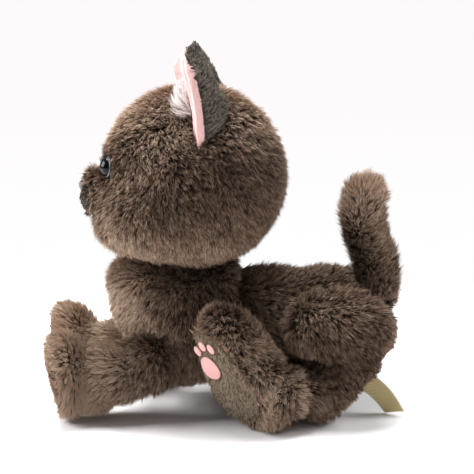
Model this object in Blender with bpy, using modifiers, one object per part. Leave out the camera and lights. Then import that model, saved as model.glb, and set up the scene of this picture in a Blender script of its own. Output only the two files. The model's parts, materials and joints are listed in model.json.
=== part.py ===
"""Plush cat: a soft toy sitting with its front legs stretched forward, in metres.

Frame: +Z up, the cat faces -Y and its left side is +X. The origin is on the floor
under the middle of the bounding box. X = 0 is the plane of symmetry, except that the
right front paw reaches further forward and the label is on the left only.

The sewn skins are 2 mm fabric shells round loose stuffing. Head and legs turn on
plastic discs, whose stems pass through both skins into a locking washer inside the
torso. The tail is sewn on with a gathered root that flexes.
"""

import math

import bmesh
import bpy
from mathutils import Euler, Matrix, Vector

MM = 0.001
X, Z = 0, 2  # axis numbers
SIDES = (1, -1)  # left, right
LEVEL = (0, 0, 0)  # no turn

# ---- driving dimensions, millimetres -------------------------------------------
FABRIC = 2.0  # backing and matted pile
GAP = 0.4  # between neighbouring pieces
SKIN_CLEARANCE = 0.6  # round a skin, where other pieces are cut back to it
STUFF_INSET = 3.6  # from the outside of a skin to its stuffing
STUFF_TRIM = 0.6  # further inset of the stuffing from a seat or a sole
FINE_WELD = 0.02  # points closer than this are merged
COARSE_WELD = 0.05

# Joints of the neck and hips, then the smaller ones of the shoulders.
STEM_R = 3.6
STEM_HOLE_R = 4.6
DISC_R = 13.0
DISC_T = 2.4
WASHER_R = 9.0
WASHER_T = 2.4
SMALL_STEM_R = 2.6
SMALL_HOLE_R = 3.5
SMALL_DISC_R = 9.5
SMALL_WASHER_R = 5.2
SMALL_WASHER_T = 2.0
STEM_OVERLAP = 1.0  # of a stem into its disc
ROOM_CLEARANCE = 1.0  # round a disc or washer, in the stuffing
BORE_OVERRUN = 2.0  # of a washer's bore cutter, each way

HEAD = (0.0, -21.0, 151.5)  # the neck's axis is the vertical through it
HEAD_R = (60.5, 57.5, 57.5)
SHOULDER = (31.0, -50.5, 34.0)  # axis of a front leg, along X
SHOULDER_R = (17.0, 20.0, 20.0)
MUZZLE = (0.0, -74.0, 139.0)
MUZZLE_R = (24.3, 18.8, 17.3)
HIP = (30.5, 72.0, 60.0)  # axis of a hind leg, along X, on the leg's inner face
NECK_PIVOT_Z = 94
CENTRING = 3.45  # moves the cat back, so that the origin is under the middle of its box

# Tail's centre line, root to tip: (y, z)
TAIL_POINTS = [
    (98, 72), (99, 84), (97.5, 94), (94.5, 103), (91, 111), (88.5, 120), (88, 130), (90, 139),
]
TAIL_R = 12.8
TAIL_ROOT = (0, *TAIL_POINTS[0])

# ---- collections and materials ---------------------------------------------------
for obj in list(bpy.data.objects):
    bpy.data.objects.remove(obj, do_unlink=True)
PARTS = bpy.data.collections.new("plush_cat")
CUTTERS = bpy.data.collections.new("cutters")  # cutters and unfinished pieces
bpy.context.scene.collection.children.link(PARTS)
bpy.context.scene.collection.children.link(CUTTERS)

# Finish: (base colour, roughness)
FINISHES = {
    "brown_plush": ((0.105, 0.065, 0.043), 0.95),
    "short_plush": ((0.19, 0.145, 0.105), 0.92),
    "muzzle_plush": ((0.30, 0.28, 0.25), 0.92),
    "pink_satin": ((0.93, 0.72, 0.68), 0.75),
    "white_plush": ((0.85, 0.78, 0.76), 0.95),
    "stuffing": ((0.86, 0.86, 0.84), 0.98),
    "pellets": ((0.75, 0.76, 0.74), 0.6),
    "joint_plastic": ((0.82, 0.83, 0.82), 0.45),
    "eye_plastic": ((0.012, 0.012, 0.015), 0.12),
    "nose_thread": ((0.05, 0.035, 0.03), 0.7),
    "label_ribbon": ((0.62, 0.50, 0.27), 0.6),
}


def material(name, colour, roughness):
    made = bpy.data.materials.new(name)
    made.use_nodes = True
    shader = made.node_tree.nodes["Principled BSDF"]
    shader.inputs["Base Color"].default_value = (*colour, 1.0)
    shader.inputs["Roughness"].default_value = roughness
    return made


MATERIALS = {name: material(name, *look) for name, look in FINISHES.items()}


# ---- objects and modifiers ---------------------------------------------------------
def working(name, data):
    """A new object, in the collection of unfinished pieces."""
    obj = bpy.data.objects.new(name, data)
    CUTTERS.objects.link(obj)
    return obj


def keep(obj, finish):
    """The finished piece: in the parts collection, with its material."""
    obj.data.materials.clear()
    obj.data.materials.append(MATERIALS[finish])
    CUTTERS.objects.unlink(obj)
    PARTS.objects.link(obj)


def keep_both(obj, finish):
    """Keeps a left piece and adds its right twin."""
    keep(obj, finish)
    mesh = obj.data.copy()
    mesh.transform(Matrix.Diagonal((-1.0, 1.0, 1.0, 1.0)))
    mesh.flip_normals()
    twin = bpy.data.objects.new(obj.name.replace("_left", "_right"), mesh)
    PARTS.objects.link(twin)


def mesh_object(name, bm):
    """The bmesh, spent, as an object."""
    mesh = bpy.data.meshes.new(name)
    bm.to_mesh(mesh)
    bm.free()
    return working(name, mesh)


def solid(name, bm):
    bmesh.ops.recalc_face_normals(bm, faces=bm.faces)
    return mesh_object(name, bm)


def modify(obj, kind, **settings):
    modifier = obj.modifiers.new(kind.lower(), kind)
    for key, value in settings.items():
        setattr(modifier, key, value)


def baked(obj):
    """The object's evaluated mesh as a new plain object, which replaces it."""
    bpy.context.view_layer.update()
    graph = bpy.context.evaluated_depsgraph_get()
    mesh = bpy.data.meshes.new_from_object(obj.evaluated_get(graph))
    mesh.transform(obj.matrix_world)
    name = obj.name
    bpy.data.objects.remove(obj, do_unlink=True)
    mesh.name = name
    return working(name, mesh)


def boolean(obj, other, operation="DIFFERENCE", spend=True):
    modify(obj, "BOOLEAN", operation=operation, solver="EXACT", object=other)
    made = baked(obj)
    if spend:
        bpy.data.objects.remove(other, do_unlink=True)
    return made


def cut(obj, *others):
    for other in others:
        obj = boolean(obj, other)
    return obj


def tidy(obj, weld=FINE_WELD):
    """Triangles only, with the specks that a cut leaves welded away."""
    bm = bmesh.new()
    bm.from_mesh(obj.data)
    bmesh.ops.remove_doubles(bm, verts=bm.verts, dist=weld * MM)
    bmesh.ops.dissolve_degenerate(bm, edges=bm.edges, dist=weld * MM)
    bmesh.ops.triangulate(bm, faces=bm.faces)
    bm.to_mesh(obj.data)
    bm.free()
    return obj


def faced_outwards(obj, weld=0.0):
    """Normals turned outwards, after welding points closer than weld, if given."""
    bm = bmesh.new()
    bm.from_mesh(obj.data)
    if weld:
        bmesh.ops.remove_doubles(bm, verts=bm.verts, dist=weld * MM)
    bmesh.ops.recalc_face_normals(bm, faces=bm.faces)
    bm.to_mesh(obj.data)
    bm.free()
    return obj


def thinned(obj, triangles):
    """The same form in about this many triangles."""
    count = sum(len(face.vertices) - 2 for face in obj.data.polygons)
    if count <= triangles:
        return obj
    modify(obj, "DECIMATE", ratio=triangles / count, use_collapse_triangulate=True)
    return baked(obj)


def grown(obj, name, by):
    """A copy of a closed form with its surface moved outwards."""
    copy = working(name, obj.data.copy())
    modify(copy, "DISPLACE", direction="NORMAL", mid_level=0.0, strength=by * MM)
    return baked(copy)


# ---- simple solids, sized in millimetres -------------------------------------------
def ellipsoid_into(bm, centre, radii, turn=LEVEL, segments=32, rings=20):
    made = bmesh.ops.create_uvsphere(bm, u_segments=segments, v_segments=rings, radius=1.0)
    place = (
        Matrix.Translation(Vector(centre) * MM)
        @ Euler([math.radians(angle) for angle in turn]).to_matrix().to_4x4()
        @ Matrix.Diagonal((*[radius * MM for radius in radii], 1.0))
    )
    bmesh.ops.transform(bm, matrix=place, verts=made["verts"])


def ellipsoid(name, centre, radii, turn=LEVEL, segments=32, rings=20):
    bm = bmesh.new()
    ellipsoid_into(bm, centre, radii, turn, segments, rings)
    return solid(name, bm)


def cylinder(name, start, end, radius, segments=20):
    bm = bmesh.new()
    start, end = Vector(start) * MM, Vector(end) * MM
    bmesh.ops.create_cone(
        bm,
        cap_ends=True,
        segments=segments,
        radius1=radius * MM,
        radius2=radius * MM,
        depth=(end - start).length,
    )
    turn = (end - start).to_track_quat("Z", "Y").to_matrix().to_4x4()
    place = Matrix.Translation((start + end) / 2) @ turn
    bmesh.ops.transform(bm, matrix=place, verts=bm.verts)
    return solid(name, bm)


def rod(name, at, span, radius, segments=20, axis=X):
    """A cylinder on the line through a point along X or Z. The span is its two
    end coordinates on that axis."""
    start, end = list(at), list(at)
    start[axis], end[axis] = span
    return cylinder(name, start, end, radius, segments)


def frame_at(point, out):
    """A placement whose Z is the direction given."""
    turn = Vector(out).to_track_quat("Z", "Y").to_matrix().to_4x4()
    return Matrix.Translation(Vector(point) * MM) @ turn


def half_space(name, point, normal, size=400.0):
    """A box that holds everything on the normal's side of the plane."""
    bm = bmesh.new()
    bmesh.ops.create_cube(bm, size=size * MM)
    shift = Matrix.Translation((0, 0, size * MM / 2))
    bmesh.ops.transform(bm, matrix=frame_at(point, normal) @ shift, verts=bm.verts)
    return solid(name, bm)


def turned(name, profile, place, segments=14):
    """A profile of (radius, height) pairs turned about Z, then placed."""
    mesh = bpy.data.meshes.new(name)
    mesh.from_pydata(
        [(radius * MM, 0, z * MM) for radius, z in profile],
        [(i, i + 1) for i in range(len(profile) - 1)],
        [],
    )
    obj = working(name, mesh)
    modify(
        obj,
        "SCREW",
        axis="Z",
        steps=segments,
        render_steps=segments,
        use_merge_vertices=True,
        merge_threshold=0.01 * MM,
    )
    obj.matrix_world = place
    return faced_outwards(baked(obj), weld=0.01)


def thread(name, points, radius):
    """A round thread along a line of points."""
    curve = bpy.data.curves.new(name, "CURVE")
    curve.dimensions = "3D"
    curve.bevel_depth = radius * MM
    curve.bevel_resolution = 1
    curve.use_fill_caps = True
    spline = curve.splines.new("POLY")
    spline.points.add(len(points) - 1)
    for slot, point in zip(spline.points, points):
        slot.co = (*(Vector(point) * MM), 1.0)
    return faced_outwards(baked(working(name, curve)), weld=FINE_WELD)


def sheet(rows):
    """An open bmesh over rows of points."""
    bm = bmesh.new()
    grid = [[bm.verts.new(point * MM) for point in row] for row in rows]
    for low, high in zip(grid, grid[1:]):
        for i in range(len(low) - 1):
            bm.faces.new((low[i], low[i + 1], high[i + 1], high[i]))
    return bm


def thickened(name, bm, thickness, offset):
    """An open sheet as a closed layer: offset 1 is on the normals' side, -1 on the
    other and 0 on both."""
    obj = mesh_object(name, bm)
    modify(obj, "SOLIDIFY", thickness=thickness * MM, offset=offset)
    return faced_outwards(baked(obj))


def on_side(point, side):
    """A left point, or its mirror image when side is -1."""
    return (point[0] * side, point[1], point[2])


# ---- soft forms, skins and stuffing --------------------------------------------------
def soft_form(
    name, blobs, triangles, inset=0.0, voxel=3.0, relax=8, segments=32, rings=20
):
    """Ellipsoids run together into one soft closed form.

    A blob is (centre, radii) or (centre, radii, turn in degrees). The union is
    remeshed, relaxed and thinned to about the number of triangles asked for."""
    bm = bmesh.new()
    for centre, radii, *turn in blobs:
        inner = [radius - inset for radius in radii]
        ellipsoid_into(bm, centre, inner, *turn, segments=segments, rings=rings)
    obj = solid(name, bm)
    modify(obj, "REMESH", mode="VOXEL", voxel_size=voxel * MM)
    modify(obj, "SMOOTH", factor=0.5, iterations=relax)
    return thinned(baked(obj), triangles)


def untrimmed(extra):
    return []


def trimmed_form(name, blobs, inset, trims, extra, rough, triangles, voxel):
    """A soft form of about rough triangles, trimmed, thinned and cut flat at the
    height of its inset above the floor."""
    form = soft_form(name, blobs, rough, inset, voxel)
    form = tidy(cut(form, *trims(extra)), COARSE_WELD)
    floor = half_space("floor", (0, 0, inset), (0, 0, -1))
    return tidy(cut(thinned(form, triangles), floor), COARSE_WELD)


def fabric(name, blobs, triangles, openings, trims=untrimmed, voxel=3.0):
    """A sewn skin: a FABRIC thick shell of the soft form that the blobs make.

    trims(extra) gives cutters, made extra millimetres larger for the inside."""
    rough = triangles * 2
    outer = trimmed_form(name, blobs, 0.0, trims, 0.0, rough, triangles, voxel)
    inner = trimmed_form(
        name + "_inside", blobs, FABRIC, trims, FABRIC, rough, int(triangles * 0.8), voxel
    )
    return tidy(cut(boolean(outer, inner), *openings), COARSE_WELD)


def filling(name, blobs, triangles, pockets, trims=untrimmed, inset=STUFF_INSET, voxel=3.5):
    """Loose fibre inside a skin, clear of it all round."""
    fill = trimmed_form(
        name, blobs, inset, trims, inset + STUFF_TRIM, triangles * 2, triangles, voxel
    )
    return tidy(cut(fill, *pockets), COARSE_WELD)


# ---- joints ------------------------------------------------------------------------
def joint_disc(name, at, stem_end, face, radius, stem_radius, axis=X, stem_segments=12):
    """A plastic disc whose torso side is at face, with its stem running to stem_end.
    Both are coordinates on the joint's axis."""
    disc = rod(name, at, (face, face + DISC_T), radius, 18, axis)
    span = (stem_end, face + STEM_OVERLAP)
    return tidy(boolean(disc, rod("stem", at, span, stem_radius, stem_segments, axis), "UNION"))


def lock_washer(
    name, at, low, thickness, radius, stem_radius, axis=X, segments=16, bore_segments=12
):
    """A washer on the stem, inside the torso's skin."""
    high = low + thickness
    ring = rod(name, at, (low, high), radius, segments, axis)
    span = (low - BORE_OVERRUN, high + BORE_OVERRUN)
    return tidy(cut(ring, rod("bore", at, span, stem_radius + GAP, bore_segments, axis)))


neck_disc = joint_disc(
    "neck_disc", HEAD, 78, 99.4, DISC_R, STEM_R, axis=Z, stem_segments=10
)
keep(neck_disc, "joint_plastic")
neck_washer = lock_washer(
    "neck_washer", HEAD, 82.0, WASHER_T, WASHER_R, STEM_R, axis=Z, segments=14, bore_segments=10
)
keep(neck_washer, "joint_plastic")
for piece in (
    joint_disc("shoulder_disc_left", SHOULDER, 3.6, 19.5, SMALL_DISC_R, SMALL_STEM_R),
    lock_washer(
        "shoulder_washer_left", SHOULDER, 4.8, SMALL_WASHER_T, SMALL_WASHER_R, SMALL_STEM_R
    ),
    joint_disc("hip_disc_left", HIP, 14.5, 35.0, DISC_R, STEM_R),
    lock_washer("hip_washer_left", HIP, 16.4, WASHER_T, WASHER_R, STEM_R),
):
    keep_both(piece, "joint_plastic")


# ---- head ----------------------------------------------------------------------------
HEAD_BLOBS = [
    (HEAD, HEAD_R),
    ((0, -57, 123), (38, 27, 21.5)),
    ((28, -44, 131), (30, 30, 27)),
    ((-28, -44, 131), (30, 30, 27)),
    ((0, -72.5, 139), (25, 19, 17.5)),
]
HEAD_TRIANGLES = 760
EYE = Vector((22.0, -72.6, 159.5))
EYE_OUT = Vector((0.38, -0.92, 0.10)).normalized()
EYE_R = 5.6
EYE_STEM_R = 1.8

head_clear = grown(
    soft_form("head_form", HEAD_BLOBS, HEAD_TRIANGLES, voxel=3.5), "head_clear", SKIN_CLEARANCE
)


def clear_of_head(obj):
    return boolean(obj, head_clear, spend=False)


def eye_cutters(depth, radius):
    """A round cutter through the face at each eye, reaching depth behind it."""
    made = []
    for side in SIDES:
        at = Vector(on_side(EYE, side))
        out = Vector(on_side(EYE_OUT, side))
        made.append(cylinder("eye_cutter", at - out * depth, at + out * 6, radius, 14))
    return made


neck_hole = rod("neck_hole", HEAD, (80, 108), STEM_HOLE_R, axis=Z)
head_openings = [neck_hole, *eye_cutters(depth=9, radius=2.6)]
head_skin = fabric("head_skin", HEAD_BLOBS, HEAD_TRIANGLES, head_openings, voxel=3.5)
keep(head_skin, "brown_plush")

disc_pocket = rod("disc_pocket", HEAD, (80, 106), DISC_R + 1.2, 24, axis=Z)
head_stuffing = filling(
    "head_stuffing",
    HEAD_BLOBS,
    300,
    [disc_pocket, *eye_cutters(depth=14, radius=7.2)],
    inset=STUFF_INSET + 0.6,
    voxel=4.0,
)
keep(head_stuffing, "stuffing")

# Eyes: a domed button on a stem, held by a washer behind the skin.
dome = [
    (EYE_R * math.sin(angle), 1.2 + 4.0 * math.cos(angle))
    for angle in map(math.radians, (0, 20, 40, 60, 78, 90))
]
eye_stem = [(EYE_R - 0.6, 0.5), (EYE_STEM_R, 0.4), (EYE_STEM_R, -9.0), (0, -9.0)]
keep_both(
    turned("eye_left", dome + eye_stem, frame_at(EYE + EYE_OUT * 1.2, EYE_OUT)), "eye_plastic"
)
washer_section = [(2.2, 0.8), (6.0, 0.8), (6.0, -0.8), (2.2, -0.8), (2.2, 0.8)]
keep_both(
    turned("eye_washer_left", washer_section, frame_at(EYE - EYE_OUT * 6.0, EYE_OUT)),
    "joint_plastic",
)

# The muzzle's short-pile panel: a cap over the front of the muzzle.
PANEL_BACK_Y = -83.0
muzzle_panel = clear_of_head(
    ellipsoid("muzzle_panel", MUZZLE, MUZZLE_R, segments=24, rings=16)
)
front_of_face = half_space("front_of_face", (0, PANEL_BACK_Y, MUZZLE[2]), (0, -1, 0))
keep(tidy(boolean(muzzle_panel, front_of_face, "INTERSECT")), "muzzle_plush")

# Nose: a small embroidered pad at the front of the muzzle.
nose = ellipsoid("nose", (0, -91.2, 145.2), (5.4, 4.0, 3.8), (12, 0, 0), 14, 8)
panel_clear = ellipsoid(
    "panel_clear", MUZZLE, [radius + GAP for radius in MUZZLE_R], segments=24, rings=16
)
nose = tidy(cut(nose, panel_clear))
keep(tidy(clear_of_head(nose)), "nose_thread")

# Mouth: an upright stitch that meets two hanging arcs.
STITCH_R = 0.7
STITCH_LIFT = 1.15  # of a stitch's middle off the muzzle panel


def on_muzzle(x, z):
    """A point at a stitch's height off the front of the muzzle."""
    half_width, half_depth, half_height = [radius + STITCH_LIFT for radius in MUZZLE_R]
    inside = 1 - (x / half_width) ** 2 - ((z - MUZZLE[2]) / half_height) ** 2
    return Vector((x, MUZZLE[1] - half_depth * math.sqrt(inside), z))


upright = thread("mouth_stitch", [on_muzzle(0, z) for z in (140.4, 137.0, 133.5)], STITCH_R)
smile_points = [
    on_muzzle(x, 133.6 - 3.4 * math.sin(math.pi * abs(x) / 9.0)) for x in range(-8, 10, 2)
]
mouth_stitch = boolean(upright, thread("smile", smile_points, STITCH_R), "UNION")
keep(tidy(mouth_stitch), "nose_thread")


# ---- ears ----------------------------------------------------------------------------
def ear_point(across, rise):
    """A point of the ear's sheet, cupped backwards. across runs from the inner edge
    (-1) to the outer one (1), and rise from the base (0) to the tip (1)."""
    outer = Vector(
        (54.0 + 6.5 * rise - 17.0 * rise * rise, -17.5 - 7.0 * rise**1.6, 170.0 + 65.0 * rise)
    )
    inner = Vector(
        (
            16.0 + 2.0 * rise + 18.0 * rise * rise,
            -21.5 - 5.2 * math.sin(math.pi * rise**1.2) - 3.0 * rise,
            196.0 + 37.0 * rise,
        )
    )
    crown = 1 - across * across
    cup = crown * (6.5 + 13.5 * math.exp(-(((rise - 0.28) / 0.26) ** 2)))
    lift = crown * 3.0 * math.sin(math.pi * min(1.0, rise))
    return inner.lerp(outer, (across + 1) / 2) + Vector((0, cup, lift))


def ear_layer(name, gap, thickness, shrink):
    """One layer of the ear: the cupped sheet moved along its normals by gap, then
    thickened on that side. A negative gap is the front layer. shrink is the share
    by which it is narrower than the full sheet."""
    cols, rows = 8, 8
    points = []
    for j in range(rows + 1):
        rise = (j / rows) ** 0.85 * (1 - 0.6 * shrink)
        # The sheet rounds off towards the tip.
        narrow = 1.0 if rise < 0.78 else 1.0 - 0.5 * ((rise - 0.78) / 0.22) ** 2
        points.append(
            [
                ear_point((2 * i / cols - 1) * (1 - shrink) * narrow, rise)
                for i in range(cols + 1)
            ]
        )
    bm = sheet(points)
    # The sheet is made facing the front; its normals have to point back.
    bmesh.ops.reverse_faces(bm, faces=bm.faces)
    bm.normal_update()
    for vert in bm.verts:
        vert.co += vert.normal * gap * MM
    layer = thickened(name, bm, thickness, 1.0 if gap > 0 else -1.0)
    return tidy(clear_of_head(layer))


keep_both(ear_layer("ear_back_left", gap=0.25, thickness=2.4, shrink=0.0), "short_plush")
ear_lining = ear_layer("ear_lining_left", gap=-0.25, thickness=3.8, shrink=0.025)
keep_both(ear_lining, "pink_satin")

# A white tuft at the base of the ear, cut back to the lining.
ear_tuft = ellipsoid("ear_tuft_left", (35.5, -21.5, 200.5), (12.0, 4.6, 9.0), (0, 38, 0), 12, 8)
ear_tuft = cut(clear_of_head(ear_tuft), grown(ear_lining, "tuft_clear", 0.35))
keep_both(tidy(ear_tuft), "white_plush")


# ---- torso ---------------------------------------------------------------------------
TORSO_BLOBS = [
    ((0, -32, 69), (38.5, 42.5, 31)),
    ((0, -53, 84), (34, 23.5, 17)),
    ((0, -28, 42), (33.5, 35, 28)),
    ((0, 30, 53), (29, 44, 38)),
    ((0, -1, 83), (28, 14, 17)),
    ((0, 62, 54), (28, 38, 36)),
    ((0, 76, 43), (28.5, 34.5, 42.5)),
    ((0, 85, 56), (26, 25, 25)),
    ((0, 40, 24), (27, 42, 27)),
]
TORSO_TRIANGLES = 1000
HEAD_CLEARANCE = 2.0
SHOULDER_CLEARANCE = 1.4
TAIL_SEAT_R = 15.0
TAIL_WAY = (0, 95.5, 91)  # hollow above the tail's seat
TAIL_WAY_R = (15.3, 18.9, 20.8)
PELLETS = (0, 42, 22)
PELLETS_R = (17, 30, 15)


def torso_trims(extra):
    """The seats of the head, tail and front legs."""
    head_r = [radius + HEAD_CLEARANCE + extra for radius in HEAD_R]
    tail_way_r = [radius + extra for radius in TAIL_WAY_R]
    shoulder_r = [radius + SHOULDER_CLEARANCE + extra for radius in SHOULDER_R]
    return [
        ellipsoid("head_seat", HEAD, head_r),
        ellipsoid("tail_seat", TAIL_ROOT, [TAIL_SEAT_R + extra] * 3, segments=20, rings=14),
        ellipsoid("tail_way", TAIL_WAY, tail_way_r, segments=20, rings=14),
        *[
            ellipsoid("socket", on_side(SHOULDER, side), shoulder_r, segments=24, rings=16)
            for side in SIDES
        ],
    ]


def joint_cutters(shoulder_span, shoulder_radius, hip_span, hip_radius, segments):
    """Round cutters on the shoulder and hip axes of both sides."""
    made = []
    for side in SIDES:
        for at, span, radius in (
            (SHOULDER, shoulder_span, shoulder_radius),
            (HIP, hip_span, hip_radius),
        ):
            ends = [side * x for x in span]
            made.append(rod("joint_cutter", at, ends, radius, segments))
    return made


torso_openings = [
    rod("neck_opening", HEAD, (70, 100), STEM_HOLE_R, axis=Z),
    *joint_cutters((7, 20), SMALL_HOLE_R, (22, 34), STEM_HOLE_R, 20),
]
torso_skin = fabric(
    "torso_skin", TORSO_BLOBS, TORSO_TRIANGLES, torso_openings, torso_trims, voxel=3.5
)
keep(torso_skin, "brown_plush")

# Pellets weigh down the belly; fibre fills the rest, with room for the washers.
pellet_bag = soft_form("pellet_bag", [(PELLETS, PELLETS_R)], 150, relax=4)
keep(tidy(pellet_bag), "pellets")
pellet_room_r = [radius + 0.9 for radius in PELLETS_R]
washer_room_r = WASHER_R + ROOM_CLEARANCE
pockets = [
    ellipsoid("pellet_room", PELLETS, pellet_room_r, segments=14, rings=8),
    rod("pellet_way", PELLETS, (-5, 20), 6.0, 16, axis=Z),
    rod("neck_washer_room", HEAD, (74, 104), washer_room_r, 12, axis=Z),
    *joint_cutters((3.2, 22), SMALL_WASHER_R + ROOM_CLEARANCE, (12, 40), washer_room_r, 12),
]
torso_stuffing = filling(
    "torso_stuffing",
    TORSO_BLOBS,
    330,
    pockets,
    torso_trims,
    inset=STUFF_INSET + 0.4,
    voxel=4.0,
)
keep(torso_stuffing, "stuffing")


# ---- paw patches ---------------------------------------------------------------------
SOLE_T, SOLE_CROWN = 1.6, 1.2
PAD_T, PALM_CROWN, TOE_CROWN = 0.9, 0.5, 0.4
PALM_PINCH = 0.12
TOE_HALF_WIDTH, TOE_HALF_HEIGHT = 2.7, 3.5
TOE_SPREAD = 0.86  # spacing of the toe pads, as a share of the palm pad's half width
TOE_RISE = 4.4  # of the side toe pads' middles above the palm pad's top
# Toe pad: (name, steps outwards from the middle one, extra rise)
TOES = (("inner", -1, 0.0), ("middle", 0, 2.6), ("outer", 1, 0.0))


def patch(
    name, centre, out, up, half_width, half_height, finish, thickness, crown, pinch=0.0
):
    """A flat sewn patch: an ellipse seen face on, its top pulled narrower by pinch,
    its front raised by crown. The centre is the middle of its back."""
    across = up.cross(out).normalized()
    rings, around = 2, 14
    outline = []
    for k in range(around):
        angle = 2 * math.pi * k / around
        width = half_width * (1.0 - pinch * math.sin(angle))
        outline.append((math.cos(angle) * width, math.sin(angle) * half_height))

    bm = bmesh.new()
    back = [bm.verts.new((centre + across * x + up * z) * MM) for x, z in outline]
    rows = []
    for ring in range(rings):
        share = 1.0 - ring / rings
        height = thickness + crown * (1 - share * share)
        rows.append(
            [
                bm.verts.new((centre + across * x * share + up * z * share + out * height) * MM)
                for x, z in outline
            ]
        )
    top = bm.verts.new((centre + out * (thickness + crown)) * MM)
    loops = [back, *rows]
    for k in range(around):
        n = (k + 1) % around
        for low, high in zip(loops, loops[1:]):
            bm.faces.new((low[k], low[n], high[n], high[k]))
        bm.faces.new((rows[-1][k], rows[-1][n], top))
    bm.faces.new(back)
    keep_both(tidy(solid(name, bm)), finish)


def paw_patches(
    prefix, centre, out, up, sole, palm, palm_rise, sole_pinch=0.0, palm_shift=0.0, toes_shift=0.0
):
    """The short-pile sole, with its palm pad and three toe pads on top of it.

    sole and palm are (half width, half height). Shifts are outwards along the sole;
    that of the toes is from the palm pad."""
    across = up.cross(out).normalized()
    patch(
        f"{prefix}_sole_left", centre + out * GAP, out, up, *sole,
        "short_plush", SOLE_T, SOLE_CROWN, sole_pinch,
    )
    face = centre + out * (GAP + SOLE_T + SOLE_CROWN + GAP)
    at = face + up * palm_rise + across * palm_shift
    patch(
        f"{prefix}_palm_pad_left", at, out, up, *palm,
        "pink_satin", PAD_T, PALM_CROWN, PALM_PINCH,
    )
    for toe, step, rise in TOES:
        sideways = across * (step * palm[0] * TOE_SPREAD + toes_shift)
        patch(
            f"{prefix}_toe_pad_{toe}_left",
            at + sideways + up * (palm[1] + TOE_RISE + rise),
            out, up, TOE_HALF_WIDTH, TOE_HALF_HEIGHT, "pink_satin", PAD_T, TOE_CROWN,
        )


# ---- front legs: a round root that turns in the chest's socket, and an upright paw ------
FRONT_BLOBS = [
    (SHOULDER, SHOULDER_R),
    ((34, -71, 25.5), (18, 24, 22.5)),
    ((41, -103, 30), (20, 16, 27.5)),
]
FRONT_OUT = Vector((0.10, -0.97, -0.20)).normalized()
FRONT_SOLE = Vector((41.0, -107.0, 30.0))
FRONT_UP = (Vector((0, 0, 1)) - FRONT_OUT * FRONT_OUT.z).normalized()


def front_trims(extra):
    return [half_space("sole", FRONT_SOLE - FRONT_OUT * extra, FRONT_OUT)]


front_opening = rod("opening", SHOULDER, (8, 18), SMALL_HOLE_R, 14)
front_skin = fabric("front_leg_skin_left", FRONT_BLOBS, 380, [front_opening], front_trims)
keep_both(front_skin, "brown_plush")
front_room = rod("room", SHOULDER, (5, 23.5), SMALL_DISC_R + ROOM_CLEARANCE, 16)
front_fill = filling("front_leg_stuffing_left", FRONT_BLOBS, 170, [front_room], front_trims)
keep_both(front_fill, "stuffing")
paw_patches(
    "front",
    FRONT_SOLE + FRONT_UP * 1.0,
    FRONT_OUT,
    FRONT_UP,
    sole=(13.5, 18.5),
    palm=(6.4, 6.4),
    palm_rise=-3.6,
)


# ---- hind legs: a round thigh that turns on the hip, a shin on the floor, a long foot ----
SOLE_YAW = math.radians(47.0)  # sole turned outwards
SOLE_PITCH = math.radians(21.0)  # sole tipped to face downwards
SOLE_ROLL = math.radians(18.0)  # sole turned in its own plane, toes inwards
SOLE_CENTRE = Vector((61.0, 0.0, 37.0))
SOLE_OUT = Vector(
    (
        math.sin(SOLE_YAW) * math.cos(SOLE_PITCH),
        -math.cos(SOLE_YAW) * math.cos(SOLE_PITCH),
        -math.sin(SOLE_PITCH),
    )
)
level_across = Vector((math.cos(SOLE_YAW), math.sin(SOLE_YAW), 0))
level_up = SOLE_OUT.cross(level_across).normalized()
SOLE_UP = level_up * math.cos(SOLE_ROLL) - level_across * math.sin(SOLE_ROLL)
SOLE_ACROSS = level_across * math.cos(SOLE_ROLL) + level_up * math.sin(SOLE_ROLL)
FOOT_TURN = [
    math.degrees(angle)
    for angle in Matrix((SOLE_ACROSS, -SOLE_OUT, SOLE_UP)).transposed().to_euler()
]
FOOT_CENTRE = SOLE_CENTRE - SOLE_OUT * 12.0
HIND_BLOBS = [
    ((35, 70, 60), (24, 34, 24)),
    ((44, 66, 20.5), (15.5, 30, 19.5), (10, 0, 0)),
    ((43, 83, 33), (14.5, 18, 16)),
    ((57, 24, 21.5), (20, 20, 21.5)),
    ((52, 42, 22), (14, 16, 15)),
    (FOOT_CENTRE, (18.5, 25, 39), FOOT_TURN),
    (FOOT_CENTRE - SOLE_UP * 12.5, (24.5, 25, 24), FOOT_TURN),
]


def hind_trims(extra):
    return [
        half_space("sole", SOLE_CENTRE - SOLE_OUT * extra, SOLE_OUT),
        half_space("hip_face", (HIP[0] + extra, 0, 0), (-1, 0, 0)),
    ]


hind_opening = rod("opening", HIP, (26, 34), STEM_HOLE_R, 16)
hind_skin = fabric("hind_leg_skin_left", HIND_BLOBS, 540, [hind_opening], hind_trims)
keep_both(hind_skin, "brown_plush")
hind_room = rod("room", HIP, (24, 39.5), DISC_R + ROOM_CLEARANCE, 16)
hind_fill = filling("hind_leg_stuffing_left", HIND_BLOBS, 230, [hind_room], hind_trims)
keep_both(hind_fill, "stuffing")
paw_patches(
    "hind",
    SOLE_CENTRE,
    SOLE_OUT.normalized(),
    SOLE_UP.normalized(),
    sole=(18.0, 32.5),
    palm=(7.6, 8.2),
    palm_rise=6.9,
    sole_pinch=0.4,
    palm_shift=-5.7,
    toes_shift=3.4,
)


# ---- tail: a bent sausage with a round tip and root ------------------------------------
tail_middles = [
    ((y0 + y1) / 2, (z0 + z1) / 2) for (y0, z0), (y1, z1) in zip(TAIL_POINTS, TAIL_POINTS[1:])
]
TAIL_BLOBS = [((0, y, z), (TAIL_R,) * 3) for y, z in TAIL_POINTS + tail_middles]


def tail_form(name, inset, segments, triangles):
    form = soft_form(
        name, TAIL_BLOBS, triangles, inset, voxel=2.5, relax=6, segments=segments, rings=14
    )
    return tidy(form, COARSE_WELD)


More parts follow.
